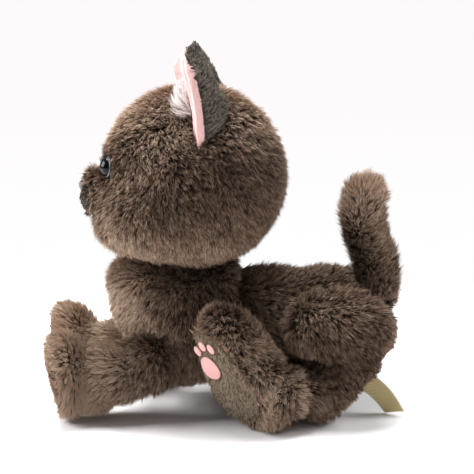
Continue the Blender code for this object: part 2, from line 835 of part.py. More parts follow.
tail_skin = boolean(
    tail_form("tail_skin", 0.0, 20, 230), tail_form("tail_inside", FABRIC, 20, 170)
)
gathered_root = rod("gathered_root", TAIL_ROOT, (52, 68), 4.0, 14, axis=Z)
keep(tidy(cut(tail_skin, gathered_root), COARSE_WELD), "brown_plush")
keep(tail_form("tail_stuffing", STUFF_INSET + 0.2, 16, 130), "stuffing")


# ---- label ---------------------------------------------------------------------------
LABEL_STEPS = 6
LABEL_T = 1.1
LABEL_HALF_WIDTH = 7.3


def label_row(share):
    """The label's two edges, at a share of its length: it leaves the torso's left
    rear on edge, droops and turns its face up towards the end."""
    bulge = math.sin(math.pi * share)
    middle = Vector(
        (
            19.0 + 10.5 * share,
            85.5 + 23.0 * share + 1.5 * bulge,
            22.0 - 19.8 * share + 2.2 * bulge,
        )
    )
    across = Vector((-0.12 - 0.45 * share, -0.72, -0.69 + 0.45 * share)).normalized()
    across = across * LABEL_HALF_WIDTH
    return middle - across, middle + across


label_sheet = sheet([label_row(k / LABEL_STEPS) for k in range(LABEL_STEPS + 1)])
torso_form = soft_form("torso_form", TORSO_BLOBS, TORSO_TRIANGLES, voxel=3.5)
label = cut(
    thickened("sewn_label", label_sheet, LABEL_T, 0.0),
    grown(torso_form, "torso_clear", SKIN_CLEARANCE),
)
keep(tidy(label), "label_ribbon")

for obj in list(CUTTERS.objects):
    bpy.data.objects.remove(obj, do_unlink=True)


# ---- pose: the right front leg reaches further forward -----------------------------------
REACH_START_Y, REACH_END_Y = -76.0, -108.0
REACH = 7.0


def reach_forward(obj):
    """Stretches a piece forward, from nothing at the start to REACH at the end."""
    for vert in obj.data.vertices:
        share = (vert.co.y / MM - REACH_START_Y) / (REACH_END_Y - REACH_START_Y)
        share = min(1.0, max(0.0, share))
        vert.co.y -= REACH * share * share * (3 - 2 * share) * MM


for obj in PARTS.objects:
    if obj.name.startswith("front_") and obj.name.endswith("_right"):
        reach_forward(obj)


# ---- bodies: an empty on each joint's axis, all carried by the torso's ---------------------
def joint_empty(name, at, carrier=None):
    empty = bpy.data.objects.new(name, None)
    empty.empty_display_size = 10 * MM
    empty.location = Vector(at) * MM
    empty.parent = carrier
    PARTS.objects.link(empty)
    return empty


torso_axis = joint_empty("torso_axis", (0, CENTRING, 0))
AXES = {
    "head": joint_empty("neck_axis", (HEAD[0], HEAD[1], NECK_PIVOT_Z), torso_axis),
    "tail": joint_empty("tail_axis", TAIL_ROOT, torso_axis),
}
for side_name, side in zip(("left", "right"), SIDES):
    for leg, at in (("front", SHOULDER), ("hind", HIP)):
        AXES[f"{leg}_{side_name}"] = joint_empty(
            f"{leg}_leg_axis_{side_name}", on_side(at, side), torso_axis
        )
HEAD_PIECES = ("head", "muzzle", "eye", "nose", "mouth", "ear", "neck_disc")


def axis_of(name):
    """The joint that a piece turns on, or the torso."""
    side_name = name.rsplit("_", 1)[-1]
    if name.startswith(("front", "shoulder_disc")):
        return AXES["front_" + side_name]
    if name.startswith(("hind", "hip_disc")):
        return AXES["hind_" + side_name]
    if name.startswith("tail"):
        return AXES["tail"]
    return AXES["head"] if name.startswith(HEAD_PIECES) else torso_axis


for obj in PARTS.objects:
    if obj.type != "MESH":
        continue
    carrier = axis_of(obj.name)
    if carrier is not torso_axis:
        obj.data.transform(Matrix.Translation(-carrier.location))
    obj.parent = carrier
    obj.data.shade_smooth()
    obj.data.set_sharp_from_angle(angle=math.radians(50))
bpy.context.view_layer.update()
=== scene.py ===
import json
import math

import bmesh
import bpy
import numpy as np
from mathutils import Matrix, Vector, kdtree
from mathutils.bvhtree import BVHTree


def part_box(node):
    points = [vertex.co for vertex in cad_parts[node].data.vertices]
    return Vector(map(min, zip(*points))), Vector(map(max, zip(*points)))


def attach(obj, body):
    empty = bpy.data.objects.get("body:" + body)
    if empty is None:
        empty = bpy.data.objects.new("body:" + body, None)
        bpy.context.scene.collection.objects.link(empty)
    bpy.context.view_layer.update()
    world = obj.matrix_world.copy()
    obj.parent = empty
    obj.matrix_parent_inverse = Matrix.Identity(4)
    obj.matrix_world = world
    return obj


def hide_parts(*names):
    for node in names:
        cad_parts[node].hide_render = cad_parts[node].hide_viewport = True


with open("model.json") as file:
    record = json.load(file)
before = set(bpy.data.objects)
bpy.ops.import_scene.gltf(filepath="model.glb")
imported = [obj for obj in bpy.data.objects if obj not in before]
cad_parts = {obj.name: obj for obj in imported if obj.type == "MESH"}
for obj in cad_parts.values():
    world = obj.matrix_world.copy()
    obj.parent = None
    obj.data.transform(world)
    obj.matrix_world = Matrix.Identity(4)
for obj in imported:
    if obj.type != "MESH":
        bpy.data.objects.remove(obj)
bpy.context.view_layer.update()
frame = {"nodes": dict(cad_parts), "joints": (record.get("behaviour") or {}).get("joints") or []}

NODES = frame["nodes"]
SCENE = bpy.context.scene
MM = 0.001
SIDES = ("left", "right")
# The cat's parts are laid out from the middle of its seat, which is a little off the origin.
BACKWARD = next(j["pos_m"][1] for j in frame["joints"] if j["name"] == "head_turn") + 0.021
SEAT = np.array([0.0, BACKWARD, 0.0])


# ---- small helpers -------------------------------------------------------------------------
def unit(v):
    return v / np.maximum(np.linalg.norm(v, axis=-1, keepdims=True), 1e-9)


def wave(points, scale, seed):
    """Smooth noise of about -1 to 1 with features of the given size."""
    rng = np.random.RandomState(seed)
    k = rng.normal(size=(10, 3)) / scale
    phase = rng.uniform(0, 2 * math.pi, 10)
    return np.sin(points @ k.T + phase).sum(1) / 3.2


def ramp(x, low, high):
    t = np.clip((x - low) / (high - low), 0.0, 1.0)
    return t * t * (3 - 2 * t)


def link(obj):
    SCENE.collection.objects.link(obj)
    return obj


def evaluated(obj):
    """The object's mesh with its modifiers applied, as a new mesh on the same object."""
    graph = bpy.context.evaluated_depsgraph_get()
    mesh = bpy.data.meshes.new_from_object(obj.evaluated_get(graph))
    obj.modifiers.clear()
    obj.data = mesh
    mesh.name = obj.name
    return obj


def smooth_shaded(obj):
    obj.data.polygons.foreach_set("use_smooth", np.ones(len(obj.data.polygons), bool))
    obj.data.update()
    return obj


def arrays(obj):
    """Vertices, triangles and vertex normals of an object, as numpy arrays."""
    mesh = obj.data
    mesh.calc_loop_triangles()
    v = np.zeros(len(mesh.vertices) * 3)
    mesh.vertices.foreach_get("co", v)
    n = np.zeros(len(mesh.vertices) * 3)
    mesh.vertices.foreach_get("normal", n)
    t = np.zeros(len(mesh.loop_triangles) * 3, np.int64)
    mesh.loop_triangles.foreach_get("vertices", t)
    return v.reshape(-1, 3), t.reshape(-1, 3), n.reshape(-1, 3)


def bvh_of(*objects):
    verts, polys, base = [], [], 0
    for obj in objects:
        v, t, _ = arrays(obj)
        verts.extend(map(tuple, v))
        polys.extend(map(tuple, t + base))
        base += len(v)
    return BVHTree.FromPolygons(verts, polys)


def distances(tree, points, reach):
    """How far each point is from the tree, up to reach."""
    out = np.full(len(points), reach)
    find = tree.find_nearest
    for i, p in enumerate(points):
        hit = find(p, reach)
        if hit[0] is not None:
            out[i] = hit[3]
    return out


# ---- materials -----------------------------------------------------------------------------
def srgb(r, g, b):
    def lin(c):
        c /= 255.0
        return c / 12.92 if c <= 0.04045 else ((c + 0.055) / 1.055) ** 2.4

    return (lin(r), lin(g), lin(b), 1.0)


def new_material(name, colour, roughness, **sockets):
    mat = bpy.data.materials.new(name)
    mat.use_nodes = True
    bsdf = mat.node_tree.nodes["Principled BSDF"]
    bsdf.inputs["Base Color"].default_value = colour
    bsdf.inputs["Roughness"].default_value = roughness
    for key, value in sockets.items():
        bsdf.inputs[key.replace("_", " ")].default_value = value
    mat.diffuse_color = colour
    return mat


def node(mat, kind, **settings):
    made = mat.node_tree.nodes.new(kind)
    for key, value in settings.items():
        setattr(made, key, value)
    return made


def coordinates(mat, scale=(1, 1, 1), rotation=(0, 0, 0)):
    coords = node(mat, "ShaderNodeTexCoord")
    mapping = node(mat, "ShaderNodeMapping")
    mapping.inputs["Scale"].default_value = scale
    mapping.inputs["Rotation"].default_value = rotation
    mat.node_tree.links.new(coords.outputs["Object"], mapping.inputs["Vector"])
    return mapping.outputs["Vector"]


def noise(mat, vector, scale, detail=3.0, roughness=0.55):
    made = node(mat, "ShaderNodeTexNoise")
    made.inputs["Scale"].default_value = scale
    made.inputs["Detail"].default_value = detail
    made.inputs["Roughness"].default_value = roughness
    mat.node_tree.links.new(vector, made.inputs["Vector"])
    return made.outputs["Fac"]


def colour_ramp(mat, factor, stops):
    made = node(mat, "ShaderNodeValToRGB")
    band = made.color_ramp
    while len(band.elements) < len(stops):
        band.elements.new(0.5)
    for element, (at, colour) in zip(band.elements, stops):
        element.position = at
        element.color = colour
    mat.node_tree.links.new(factor, made.inputs["Fac"])
    return made.outputs["Color"]


def plug(mat, output, socket):
    mat.node_tree.links.new(output, mat.node_tree.nodes["Principled BSDF"].inputs[socket])


def bump(mat, height, strength, distance):
    made = node(mat, "ShaderNodeBump")
    made.inputs["Strength"].default_value = strength
    made.inputs["Distance"].default_value = distance
    mat.node_tree.links.new(height, made.inputs["Height"])
    plug(mat, made.outputs["Normal"], "Normal")


def cloth_material(name, dark, light, scale=900.0, roughness=0.95, depth=0.0004, **sockets):
    """A backing cloth or felt: fine fibre noise in colour and height."""
    mat = new_material(name, light, roughness, **sockets)
    at = coordinates(mat)
    fine = noise(mat, at, scale, 4.0)
    plug(mat, colour_ramp(mat, fine, [(0.3, dark), (0.72, light)]), "Base Color")
    bump(mat, fine, 0.6, depth)
    return mat


def mixed(a, b, t):
    return tuple(a[i] * (1 - t) + b[i] * t for i in range(3)) + (1.0,)


# The shades of a palette stand partly for the fibre's own tone and partly for light: grow() gives roots, clump edges
# and shaded places darker shades as painted shade, and tips and lit places lighter shades as painted light.
def strand_materials(name, stops, count, sheen, tint):
    """Shades for strands, dark to light. A noise in the sheen keeps each from being flat."""
    made = []
    for k in range(count):
        t = k / (count - 1) * (len(stops) - 1)
        i = min(int(t), len(stops) - 2)
        colour = mixed(stops[i], stops[i + 1], t - i)
        mat = new_material(f"{name}_{k}", colour, 0.85)
        bsdf = mat.node_tree.nodes["Principled BSDF"]
        bsdf.inputs["Specular IOR Level"].default_value = 0.25
        bsdf.inputs["Sheen Weight"].default_value = sheen * (0.3 + 0.7 * k / (count - 1))
        bsdf.inputs["Sheen Roughness"].default_value = 0.45
        at = coordinates(mat)
        mottled = noise(mat, at, 120.0, 2.0)
        plug(mat, colour_ramp(mat, mottled, [(0.35, mixed(tint, colour, 0.6)), (0.7, tint)]), "Sheen Tint")
        made.append(mat)
    return made


BROWN = strand_materials(
    "fur_brown",
    [srgb(38, 25, 18), srgb(88, 68, 54), srgb(131, 108, 90), srgb(178, 155, 135)],
    12, 0.45, srgb(200, 176, 152),
)
OLIVE = strand_materials(
    "pile_olive",
    [srgb(78, 66, 53), srgb(122, 106, 88), srgb(164, 148, 128)],
    6, 0.35, srgb(205, 192, 172),
)
EARGREY = strand_materials(
    "pile_ear",
    [srgb(60, 54, 47), srgb(104, 97, 88), srgb(145, 137, 125)],
    6, 0.35, srgb(190, 184, 172),
)
GREY = strand_materials(
    "pile_muzzle",
    [srgb(62, 52, 44), srgb(122, 110, 98), srgb(188, 178, 166)],
    6, 0.3, srgb(225, 220, 214),
)
WHITE = strand_materials(
    "tuft_white",
    [srgb(205, 192, 190), srgb(236, 228, 226), srgb(250, 246, 244)],
    5, 0.3, srgb(255, 250, 248),
)
PINKPILE = strand_materials(
    "pile_pink",
    [srgb(232, 196, 190), srgb(250, 224, 219), srgb(255, 238, 234)],
    5, 0.3, srgb(255, 240, 236),
)
BACKING = cloth_material("backing_brown", srgb(30, 20, 14), srgb(62, 46, 36), 700.0)
SOLE_BASE = cloth_material("sole_felt", srgb(70, 58, 46), srgb(112, 97, 80), 900.0)
EAR_BASE = cloth_material("ear_felt", srgb(56, 50, 43), srgb(96, 89, 80), 900.0)
MUZZLE_BASE = cloth_material("muzzle_felt", srgb(70, 60, 52), srgb(120, 110, 100), 900.0)
INNER = cloth_material("inner_fibre", srgb(214, 214, 212), srgb(244, 244, 242), 300.0)
PLASTIC = cloth_material("joint_plastic", srgb(212, 212, 210), srgb(236, 236, 234), 60.0, 0.45, 0.00005)


def satin_material(name, dark, light, direction_deg):
    """Satin stitch: fine parallel thread in colour, sheen and height."""
    mat = new_material(name, light, 0.5, Sheen_Weight=0.4)
    at = coordinates(mat, rotation=(0, 0, math.radians(direction_deg)))
    thread = node(mat, "ShaderNodeTexWave", wave_type="BANDS", bands_direction="Z")
    thread.inputs["Scale"].default_value = 900.0
    thread.inputs["Distortion"].default_value = 1.5
    thread.inputs["Detail"].default_value = 2.0
    mat.node_tree.links.new(at, thread.inputs["Vector"])
    plug(mat, colour_ramp(mat, thread.outputs["Fac"], [(0.1, dark), (0.6, light)]), "Base Color")
    bump(mat, thread.outputs["Fac"], 0.35, 0.00012)
    return mat


PAD = satin_material("pad_satin", srgb(200, 136, 133), srgb(220, 164, 160), 0)
LINING = cloth_material("ear_lining_cloth", srgb(225, 176, 172), srgb(242, 201, 197), 1400.0, 0.8, 0.00015, Sheen_Weight=0.3)
LINING_INNER = cloth_material("ear_lining_inner", srgb(212, 157, 154), srgb(231, 184, 181), 1400.0, 0.8, 0.00015, Sheen_Weight=0.3)
NOSE_THREAD = satin_material("nose_satin", srgb(30, 22, 20), srgb(66, 52, 48), 0)


# ---- surfaces from the CAD pieces ----------------------------------------------------------
def welded(node_name):
    bm = bmesh.new()
    bm.from_mesh(NODES[node_name].data)
    bmesh.ops.remove_doubles(bm, verts=bm.verts, dist=2e-6)
    return bm


def object_from(bm, name):
    mesh = bpy.data.meshes.new(name)
    bm.to_mesh(mesh)
    bm.free()
    return link(bpy.data.objects.new(name, mesh))


def remeshed(obj, voxel, steps, inset, factor=0.5):
    """One even, rounded surface, moved in along its normals by inset."""
    grid = obj.modifiers.new("remesh", "REMESH")
    grid.mode = "VOXEL"
    grid.voxel_size = voxel
    soft = obj.modifiers.new("smooth", "SMOOTH")
    soft.factor = factor
    soft.iterations = steps
    evaluated(obj)
    if inset:
        v, t, n = arrays(obj)
        obj.data.vertices.foreach_set("co", (v - n * inset).ravel())
        obj.data.update()
        soft = obj.modifiers.new("smooth", "SMOOTH")
        soft.factor = 0.5
        soft.iterations = 2
        evaluated(obj)
    return smooth_shaded(obj)


def keep_largest(bm):
    """Removes every group of joined faces but the largest."""
    left, groups = set(bm.faces), []
    while left:
        stack, group = [left.pop()], []
        while stack:
            face = stack.pop()
            group.append(face)
            for edge in face.edges:
                for other in edge.link_faces:
                    if other in left:
                        left.remove(other)
                        stack.append(other)
        groups.append(group)
    groups.sort(key=lambda g: sum(f.calc_area() for f in g))
    bmesh.ops.delete(bm, geom=[f for g in groups[:-1] for f in g], context="FACES")


def close_loops(bm):
    """Closes each opening with a fan of triangles to its middle."""
    left = {e for e in bm.edges if e.is_boundary}
    while left:
        stack, loop = [left.pop()], []
        while stack:
            edge = stack.pop()
            loop.append(edge)
            for vert in edge.verts:
                for other in vert.link_edges:
                    if other in left:
                        left.remove(other)
                        stack.append(other)
        verts = {v for e in loop for v in e.verts}
        middle = bm.verts.new(sum((v.co for v in verts), Vector()) / len(verts))
        for edge in loop:
            bm.faces.new((edge.verts[0], edge.verts[1], middle))
    bmesh.ops.recalc_face_normals(bm, faces=bm.faces)


def backing(name, skin, fill, voxel, inset, steps=8):
    """The fabric under the fur: the outer side of a CAD cover, closed at its openings."""
    inside = bvh_of(NODES[fill])
    bm = welded(skin)
    gone = []
    for face in bm.faces:
        spot, normal, _, far = inside.find_nearest(face.calc_center_median())
        if spot is not None and far < 0.0032 and face.normal.dot(normal) < -0.25:
            gone.append(face)
    bmesh.ops.delete(bm, geom=gone, context="FACES")
    keep_largest(bm)
    close_loops(bm)
    obj = remeshed(object_from(bm, name), voxel, steps, inset)
    obj.data.materials.clear()
    obj.data.materials.append(BACKING)
    return obj


def gather(body, p):
    """How far the cloth is drawn in at its creases, in metres, and how deep in a crease each spot is."""
    x, y, z = np.abs(p[:, 0]), p[:, 1] - BACKWARD, p[:, 2]
    deep = np.zeros(len(p))
    if body == "torso":
        deep += 0.0042 * np.exp(-(((y - 0.0062 - 0.10 * (z - 0.07)) / 0.0042) ** 2)) * ramp(z, 0.03, 0.05)
    low = np.zeros(len(p))
    if body.startswith("hind"):
        line = 0.0425 - 0.06 * (y - 0.05)
        span = ramp(y, 0.030, 0.040) * (1 - ramp(y, 0.054, 0.072)) * ramp(x, 0.034, 0.046)
        deep += 0.0046 * np.exp(-(((z - line) / 0.0042) ** 2)) * span
        heel = np.sqrt(((y - 0.034) / 0.0155) ** 2 + ((z - 0.020) / 0.0235) ** 2)
        span = ramp(y, 0.035, 0.042) * ramp(x, 0.034, 0.046)
        deep = np.maximum(deep, 0.0036 * np.exp(-(((heel - 1.08) * 0.0155 / 0.0034) ** 2)) * span)
    if body in ("torso", "hind_leg_left", "hind_leg_right"):
        low = 0.0080 * ramp(y, 0.048, 0.084) * (1 - ramp(z, 0.020, 0.050))
    if body.startswith("front"):
        low = 0.0062 * ramp(y, -0.084, -0.070) * (1 - ramp(y, -0.050, -0.030)) * (1 - ramp(z, 0.006, 0.030))
        low -= 0.0040 * np.exp(-(((y + 0.088) / 0.010) ** 2)) * (1 - ramp(z, 0.006, 0.024))
    return deep + low, np.clip(deep / 0.004, 0, 1)


BACK = {}
for body, skin, fill, voxel in (
    ("head", "head_skin", "head_stuffing", 0.0022),
    ("torso", "torso_skin", "torso_stuffing", 0.0022),
    ("front_leg_left", "front_leg_skin_left", "front_leg_stuffing_left", 0.0017),
    ("front_leg_right", "front_leg_skin_right", "front_leg_stuffing_right", 0.0017),
    ("hind_leg_left", "hind_leg_skin_left", "hind_leg_stuffing_left", 0.0018),
    ("hind_leg_right", "hind_leg_skin_right", "hind_leg_stuffing_right", 0.0018),
    ("tail", "tail_skin", "tail_stuffing", 0.0017),
):
    piece = backing(body + "_backing", skin, fill, voxel, 0.0024)
    v, _, n = arrays(piece)
    v = v - n * gather(body, v)[0][:, None]
    if body.startswith("hind"):
        # The pile's ground comes up to the sole's edge, so that no trench shows beside it.
        edge = distances(bvh_of(NODES["hind_sole_" + body[9:]]), v, 0.012)
        v = v + n * (0.0021 * np.exp(-((edge / 0.0048) ** 2)))[:, None]
    piece.data.vertices.foreach_set("co", v.ravel())
    piece.data.update()
    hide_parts(skin, fill)
    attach(piece, body)
    BACK[body] = piece


# ---- strands -------------------------------------------------------------------------------
def scatter(obj, per_mm2, rng, keep=None):
    """Random spots on a surface, with smooth normals."""
    v, t, n = arrays(obj)
    a, b, c = v[t[:, 0]], v[t[:, 1]], v[t[:, 2]]
    area = np.linalg.norm(np.cross(b - a, c - a), axis=1) / 2
    if keep is not None:
        area = area * keep((a + b + c) / 3, unit(np.cross(b - a, c - a)))
    count = int(area.sum() * 1e6 * per_mm2)
    pick = np.searchsorted(np.cumsum(area), rng.uniform(0, area.sum(), count))
    pick = np.minimum(pick, len(t) - 1)
    u, w = rng.uniform(size=(2, count))
    over = u + w > 1
    u[over], w[over] = 1 - u[over], 1 - w[over]
    u, w = u[:, None], w[:, None]
    p = a[pick] * (1 - u - w) + b[pick] * u + c[pick] * w
    m = n[t[pick, 0]] * (1 - u - w) + n[t[pick, 1]] * u + n[t[pick, 2]] * w
    return p, unit(m)


def turned(d, n, angle):
    return d * np.cos(angle)[:, None] + np.cross(n, d) * np.sin(angle)[:, None]


def mesh_of_strands(name, x, w, half, tones, materials):
    """Flat tapered strands: x (n, 4, 3) spine, w (n, 3) sideways, half (n, 3) half widths,
    tones (n, 3) shade for each segment."""
    count = len(x)
    verts = np.empty((count, 7, 3), np.float32)
    for k in range(3):
        side = w * half[:, k, None]
        verts[:, 2 * k] = x[:, k] - side
        verts[:, 2 * k + 1] = x[:, k] + side
    verts[:, 6] = x[:, 3]
    loops = np.array([0, 1, 3, 2, 2, 3, 5, 4, 4, 5, 6], np.int32)
    starts = np.array([0, 4, 8], np.int32)
    mesh = bpy.data.meshes.new(name)
    mesh.vertices.add(count * 7)
    mesh.vertices.foreach_set("co", verts.ravel())
    mesh.loops.add(count * 11)
    mesh.loops.foreach_set(
        "vertex_index", (loops[None] + 7 * np.arange(count, dtype=np.int32)[:, None]).ravel()
    )
    mesh.polygons.add(count * 3)
    mesh.polygons.foreach_set(
        "loop_start", (starts[None] + 11 * np.arange(count, dtype=np.int32)[:, None]).ravel()
    )
    top = len(materials) - 1
    index = np.clip(np.rint(tones * top), 0, top).astype(np.int32)
    mesh.polygons.foreach_set("material_index", index.ravel())
    mesh.polygons.foreach_set("use_smooth", np.ones(count * 3, bool))
    mesh.update(calc_edges=True)
    for mat in materials:
        mesh.materials.append(mat)
    return link(bpy.data.objects.new(name, mesh))


def grow(name, body, p, n, comb, materials, seed, length, width, clump_mm=3.2,
         pull=0.75, up=(1.0, 0.75, 0.45), out=(0.5, 0.85, 1.0), swirl=0.5, jitter=0.16,
         tone=0.5, spread=(0.15, 0.12, 0.08), steps=(-0.32, -0.02, 0.16), droop=0.0,
         roll=0.9, unruly=0.15, limit=39000):
    """Grows leaning, clumped strands from the points p with normals n along comb."""
    rng = np.random.RandomState(seed)
    count = len(p)
    length = np.broadcast_to(length, (count,)) * rng.uniform(0.78, 1.12, count)
    d = unit(comb - n * (comb * n).sum(1, keepdims=True))
    d = turned(d, n, swirl * wave(p, 0.020, seed + 1) + 0.35 * swirl * wave(p, 0.006, seed + 2))
    own = max(1, int(count / max(1.0, clump_mm)))
    centres = rng.choice(count, own, replace=False)
    tree = kdtree.KDTree(own)
    for i, c in enumerate(centres):
        tree.insert(p[c], i)
    tree.balance()
    find = tree.find
    found = np.array([find(q)[1:] for q in p])
    owner = found[:, 0].astype(np.int64)
    core = 1 - found[:, 1] / (2.0 * np.median(found[:, 1]) + 1e-9)
    length = length * rng.uniform(0.80, 1.12, own)[owner] * (0.90 + 0.12 * core)
    lead = centres[owner]
    lean = rng.normal(0, 0.26, own)[owner]
    d_lead = turned(d[lead], n[lead], lean)
    d = turned(d, n, lean * 0.6 + rng.normal(0, jitter, count))
    lift = (1.0 + rng.normal(0, 0.30, own))[owner] + 0.22 * wave(p, 0.0042, seed + 5)
    fall = np.array([0.0, 0.0, -1.0])

    def spine(p0, n0, d0, size, rise):
        pts = [p0]
        for k in range(3):
            step = unit(
                n0 * (up[k] * rise)[:, None] + d0 * out[k] + fall * droop * (k + 1) / 3
            )
            pts.append(pts[-1] + step * (size / 3)[:, None])
        return np.stack(pts, 1)

    mine = spine(p, n, d, length, lift * (1 + rng.normal(0, unruly, count)))
    theirs = spine(p[lead], n[lead], d_lead, length, lift)
    force = (pull * rng.uniform(0.55, 1.1, own))[owner]
    share = np.stack([force * s for s in (0.0, 0.22, 0.55, 0.85)], 1)[:, :, None]
    x = mine * (1 - share) + theirs * share
    x[:, 1:, 2] = np.maximum(x[:, 1:, 2], 0.0003 + rng.uniform(0, 0.0009, count)[:, None])
    along = unit(x[:, 2] - x[:, 0])
    side = unit(np.cross(along, n))
    angle = rng.uniform(-roll, roll, count)
    side = side * np.cos(angle)[:, None] + np.cross(along, side) * np.sin(angle)[:, None]
    thick = width * rng.uniform(0.7, 1.25, count) / 2
    half = np.stack([thick * 0.8, thick, thick * 0.72], 1)
    # Tone: the fur's own mottling by place, clump and strand, plus painted shade towards each clump's edge, in the
    # gaps between clumps.
    shade = (
        tone
        + spread[0] * wave(p, 0.011, seed + 3)
        + spread[1] * rng.normal(0, 1, own)[owner]
        + spread[2] * rng.normal(0, 1, count)
        + 0.16 * (core - 0.45)
    )
    # Each strand is darker at its root and lighter at its tip, by steps: painted shade deep in the pile and painted
    # light on the tips.
    tones = np.stack([shade + s for s in steps], 1)
    parts = []
    pieces = max(1, math.ceil(count / limit))
    order = np.argsort(p[:, 1], kind="stable")
    for k, chosen in enumerate(np.array_split(order, pieces)):
        label = name if pieces == 1 else f"{name}_{'abcdefgh'[k]}"
        obj = mesh_of_strands(label, x[chosen], side[chosen], half[chosen], tones[chosen], materials)
        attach(obj, body)
        parts.append(obj)
    return parts


# ---- the long fur --------------------------------------------------------------------------
DENSITY = 1.0


def comb_head(p):
    away = p - np.array([0.0, -0.088, 0.147])
    near = np.exp(-((np.linalg.norm(away, axis=1) / 0.034) ** 2))[:, None]
    base = np.tile([0.0, 0.22, -1.0], (len(p), 1))
    around = unit(away * np.array([1.0, 0.0, 1.0]))
    return base * (1 - near) + (around * 0.9 + np.array([0.0, -0.8, 0.0])) * near * 1.4


def comb_torso(p):
    rear = ramp(p[:, 1], -0.03, 0.02)[:, None]
    chest = np.array([0.0, -0.3, -1.0])
    back = np.array([0.0, 0.8, -0.55])
    return chest * (1 - rear) + back * rear


def comb_front(p):
    side = np.sign(p[:, 0])
    forward = -p[:, 1] - np.where(side < 0, 0.007 * ramp(-p[:, 1], 0.076, 0.115), 0.0)
    paw = ramp(forward, 0.080, 0.108)[:, None]
    axis = np.stack([0.041 * side, p[:, 1], np.full(len(p), 0.030)], 1)
    radial = unit(p - axis)
    root = 1 - ramp(-p[:, 1], 0.046, 0.074)[:, None]
    along = np.array([0.0, -1.0, -0.12]) * (1 - root) + np.array([0.0, -0.35, -1.0]) * root
    return along * (1 - 0.3 * paw) + radial * paw * 0.8


def comb_hind(p):
    side = np.sign(p[:, 0])[:, None]
    mirror = np.concatenate([side, np.ones((len(p), 2))], 1)
    q = p * mirror
    haunch = ramp(q[:, 1], 0.040, 0.054)[:, None]
    heel = np.exp(-(((q[:, 1] - 0.036) / 0.013) ** 2 + ((q[:, 2] - 0.021) / 0.018) ** 2))[:, None]
    round_haunch = unit(q - np.array([0.05, 0.022, 0.112])) + np.array([0.0, 0.15, -0.25])
    # The foot's fur runs away from the sole, but leans over the sole's upper outer edge.
    sole = q - np.array([0.061, 0.0, 0.037])
    right = sole @ SOLE_RIGHT
    high = sole @ SOLE_TALL
    rim = np.sqrt((right / 0.018) ** 2 + (high / 0.0325) ** 2)
    over = np.exp(-(((rim - 1.08) / 0.24) ** 2)) * ramp(right, -0.002, 0.008) * ramp(high, -0.026, -0.010)
    over = over[:, None]
    foot = unit(sole) * (1 - 1.15 * over) + SOLE_FACE * over * 0.45
    foot = foot + np.array([0.0, 0.0, -0.15]) * (1 + 2.5 * over)
    d = foot * (1 - haunch) + round_haunch * haunch
    d = d * (1 - heel) + unit(q - np.array([0.05, 0.0365, 0.0205])) * heel * 1.3
    return d * mirror


def comb_tail(p):
    tip = ramp(p[:, 2], 0.128, 0.148)[:, None]
    base = np.tile([0.0, 0.0, 1.0], (len(p), 1))
    radial = p - np.array([0.0, 0.088, 0.135])
    return base * (1 - tip) + unit(radial) * tip + np.array([0.0, 0.25, 0.0])


SOLE_FACE = unit(np.array([0.683, -0.637, -0.358]))
tall = unit(np.array([0.0, 0.0, 1.0]) - SOLE_FACE * SOLE_FACE[2])
flat = np.cross(tall, SOLE_FACE)
roll = math.radians(18)
SOLE_TALL = tall * math.cos(roll) - flat * math.sin(roll)
SOLE_RIGHT = np.cross(SOLE_TALL, SOLE_FACE)

FIELDS = {
    "head": (comb_head, 3.4, 0.0086),
    "torso": (comb_torso, 3.0, 0.0085),
    "front_leg_left": (comb_front, 3.4, 0.0084),
    "front_leg_right": (comb_front, 3.4, 0.0084),
    "hind_leg_left": (comb_hind, 3.3, 0.0084),
    "hind_leg_right": (comb_hind, 3.3, 0.0084),
    "tail": (comb_tail, 3.6, 0.0092),
}
TRIMS = {
    "head": ["eye_left", "eye_right", "ear_back_left", "ear_back_right", "ear_lining_left",
             "ear_lining_right", "nose", "mouth_stitch"],
    "torso": ["sewn_label"],
    "tail": [],
}
PANELS = {"head": ["muzzle_panel"], "torso": [], "tail": []}
for side in SIDES:
    for leg in ("front", "hind"):
        pads = [f"{leg}_palm_pad_{side}"] + [f"{leg}_toe_pad_{k}_{side}" for k in ("inner", "middle", "outer")]
        TRIMS[f"{leg}_leg_{side}"] = pads
        PANELS[f"{leg}_leg_{side}"] = [f"{leg}_sole_{side}"]

